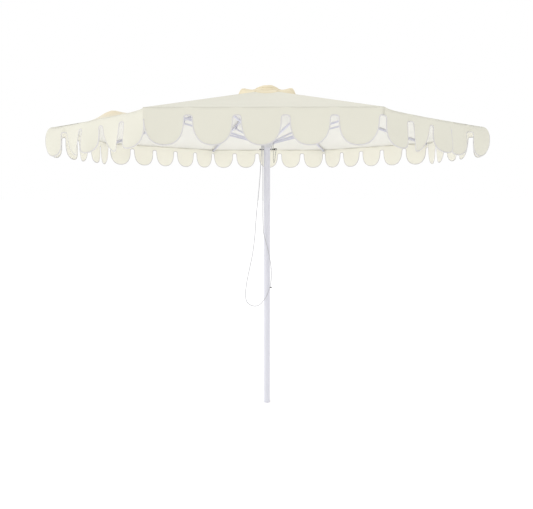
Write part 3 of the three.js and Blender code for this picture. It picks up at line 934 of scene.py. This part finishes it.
def add_skirt(i):
    """The cap's shoulder turns down from the hub to the canopy; its skirt goes with the canopy."""
    body = f"gore_{i}"
    shoulder = cap_sector(
        "vent_cap_shoulder", i, SHOULDER_IN, SHOULDER_OUT, SHOULDER_DROP, SHOULDER_ROWS
    )
    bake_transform(shoulder)
    skirt = cap_sector("vent_cap_skirt", i, SKIRT_IN, SKIRT_OUT, SKIRT_DROP, SKIRT_ROWS)
    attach(skirt, body)
    fold_with(skirt)


add_crown()
for panel in range(1, SIDES + 1):
    add_skirt(panel)

# ---- the lock pin's chain: small oval links ----
CHAIN_ROUTE = [
    (0.047, 0.008, FLANGE_BASE_Z), (0.047, 0.008, 2.028), (0.048, 0.012, 1.975),
    (0.049, 0.017, 1.925), (0.053, 0.022, 1.911), (0.058, 0.026, 1.925),
    (0.063, 0.030, 1.965), (0.067, 0.031, 1.990), (0.068, 0.031, 1.998),
]
CHAIN_POINTS = 400
LINK_PITCH = 0.0056
LINK_WIRE = 0.0007
LINK_LONG = 0.0039
LINK_WIDE = 0.0019
LINK_POINTS = 14
LINK_SIDES = 6


def chain_link(middle, direction, flat):
    """One oval link along the chain; every second one is turned by a quarter."""
    side = unit(np.cross(direction, (0.3, 1.0, 0.2)))
    if not flat:
        side = np.cross(direction, side)
    ring = []
    for k in range(LINK_POINTS):
        a = 2 * math.pi * k / LINK_POINTS
        ring.append(middle + direction * LINK_LONG * math.cos(a) + side * LINK_WIDE * math.sin(a))
    return tube_parts(ring, LINK_WIRE, LINK_SIDES, closed=True)


def chain_links():
    """The links laid one after another along the chain's route."""
    path = smooth_curve(CHAIN_ROUTE, CHAIN_POINTS)
    run = run_along(path)
    count = int(run[-1] / LINK_PITCH)
    parts = []
    for k in range(count):
        at = (k + 0.5) * run[-1] / count
        here, there = (
            np.array([np.interp(x, run, path[:, c]) for c in range(3)]) for x in (at, at + 0.001)
        )
        parts.append(chain_link(here, unit(there - here), k % 2 == 0))
    return joined(parts)


chain_verts, chain_faces, chain_uv = chain_links()
chain = mesh_object("pin_chain_links", chain_verts, chain_faces, {"cord": chain_uv})
chain.data.materials.append(chain_metal)
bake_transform(chain)
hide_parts("pin_chain")

# ---- metal and plastic pieces keep their CAD shape ----
LOOKS = {
    "pole": white_coat, "foot_plug": foot_plastic, "stop_screw": black_steel,
    "top_hub": grey_plastic, "hub_wire": wire, "cap_support": white_plastic,
    "runner": white_plastic, "runner_wire": wire, "lock_pin": black_steel,
    "pulley_wheel": white_plastic, "pulley_axle": wire, "hoist_cord": white_cord,
}
for rib in range(1, SIDES + 1):
    LOOKS[f"rib_{rib}"] = frame_shaded_coat
    LOOKS[f"rib_tip_{rib}"] = grey_plastic
    LOOKS[f"strut_{rib}"] = frame_shaded_coat
ROUNDED = ("foot_plug", "top_hub", "runner", "lock_pin", "cap_support", "stop_screw")
SHARP = math.radians(38)
EDGE_ROUND = 0.0006
WELD_WITHIN = 1e-5


def dress(name, look):
    """Material, smooth shading and softened edges for a CAD node."""
    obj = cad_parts[name]
    obj.data.materials.clear()
    obj.data.materials.append(look)
    normals = obj.data.attributes.get("custom_normal")
    if normals:
        obj.data.attributes.remove(normals)
    obj.data.polygons.foreach_set("use_smooth", [True] * len(obj.data.polygons))
    weld = obj.modifiers.new("weld", "WELD")
    weld.merge_threshold = WELD_WITHIN
    if name in ROUNDED:
        bevel = obj.modifiers.new("bevel", "BEVEL")
        bevel.width = EDGE_ROUND
        bevel.segments = 2
        bevel.limit_method = "ANGLE"
        bevel.angle_limit = SHARP
    split = obj.modifiers.new("edges", "EDGE_SPLIT")
    split.split_angle = SHARP


for node, look in LOOKS.items():
    dress(node, look)

# ---- floor and light ----
FLOOR_HALF = 60
FLOOR_GLOW = 0.2
KEY_HEADING = (1.0, 0.12, -0.22)  # soft light from the left
KEY_STRENGTH = 0.64
KEY_SPREAD = math.radians(35)
floor_verts = [(x * FLOOR_HALF, y * FLOOR_HALF, 0) for x, y in ((-1, -1), (1, -1), (1, 1), (-1, 1))]
floor = mesh_object("floor", floor_verts, [(0, 1, 2, 3)], smooth=False)
floor_look = Nodes("floor_white", (0.9, 0.9, 0.9), 0.9)
floor_look.to("Emission Color", (1, 1, 1, 1))
floor_look.to("Emission Strength", FLOOR_GLOW)
floor.data.materials.append(floor_look.material)

world = bpy.data.worlds.new("studio")
world.use_nodes = True
world.node_tree.nodes["Background"].inputs["Color"].default_value = (1, 1, 1, 1)
world.node_tree.nodes["Background"].inputs["Strength"].default_value = 1.0
bpy.context.scene.world = world
bpy.context.scene.view_settings.view_transform = "Standard"

key_data = bpy.data.lights.new("key", "SUN")
key_data.energy = KEY_STRENGTH
key_data.angle = KEY_SPREAD
key = bpy.data.objects.new("key", key_data)
key.rotation_euler = Vector(KEY_HEADING).to_track_quat("-Z", "Y").to_euler()
bpy.context.scene.collection.objects.link(key)
